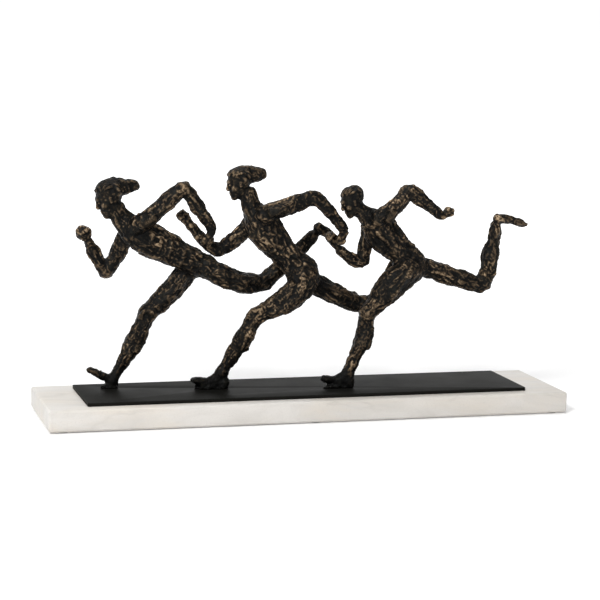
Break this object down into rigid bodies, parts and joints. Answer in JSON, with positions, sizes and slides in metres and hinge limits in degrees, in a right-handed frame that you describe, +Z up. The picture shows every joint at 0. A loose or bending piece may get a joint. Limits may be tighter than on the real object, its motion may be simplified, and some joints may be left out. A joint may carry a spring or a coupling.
{
  "type": "figure trophy",
  "caption": "Award sculpture of running figures in rough dark-patinated cast metal, standing on a black steel plate on a long white marble base.",
  "frame": {"origin": "centre of the underside of the felt pads, on the surface the trophy stands on", "axes": "+X along the marble base, from the leading runner towards the last one; +Y across the base, away from the viewer; +Z up"},
  "size_m": [0.635, 0.152, 0.2987],
  "materials": {
    "marble": "honed, faint grey and brown veins",
    "felt": "dense felt",
    "blackened_steel": "satin black",
    "zinc_steel": "zinc plated",
    "bronze_patina": "rough cast surface, near-black patina with rubbed highlights"
  },
  "bodies": {
    "root": {"marble_base": "marble", "felt_pads": "felt", "steel_plate": "blackened_steel", "plate_studs": "zinc_steel", "plate_washers": "zinc_steel", "plate_nuts": "zinc_steel", "foot_screws": "zinc_steel", "arm_dowels": "zinc_steel", "leg_dowels": "zinc_steel", "leader_torso": "bronze_patina", "leader_near_arm": "bronze_patina", "leader_far_arm": "bronze_patina", "leader_near_leg": "bronze_patina", "leader_far_leg": "bronze_patina", "middle_torso": "bronze_patina", "middle_near_arm": "bronze_patina", "middle_far_arm": "bronze_patina", "middle_near_leg": "bronze_patina", "middle_far_leg": "bronze_patina", "last_torso": "bronze_patina", "last_near_arm": "bronze_patina", "last_far_arm": "bronze_patina", "last_near_leg": "bronze_patina", "last_far_leg": "bronze_patina"}
  },
  "joints": []
}
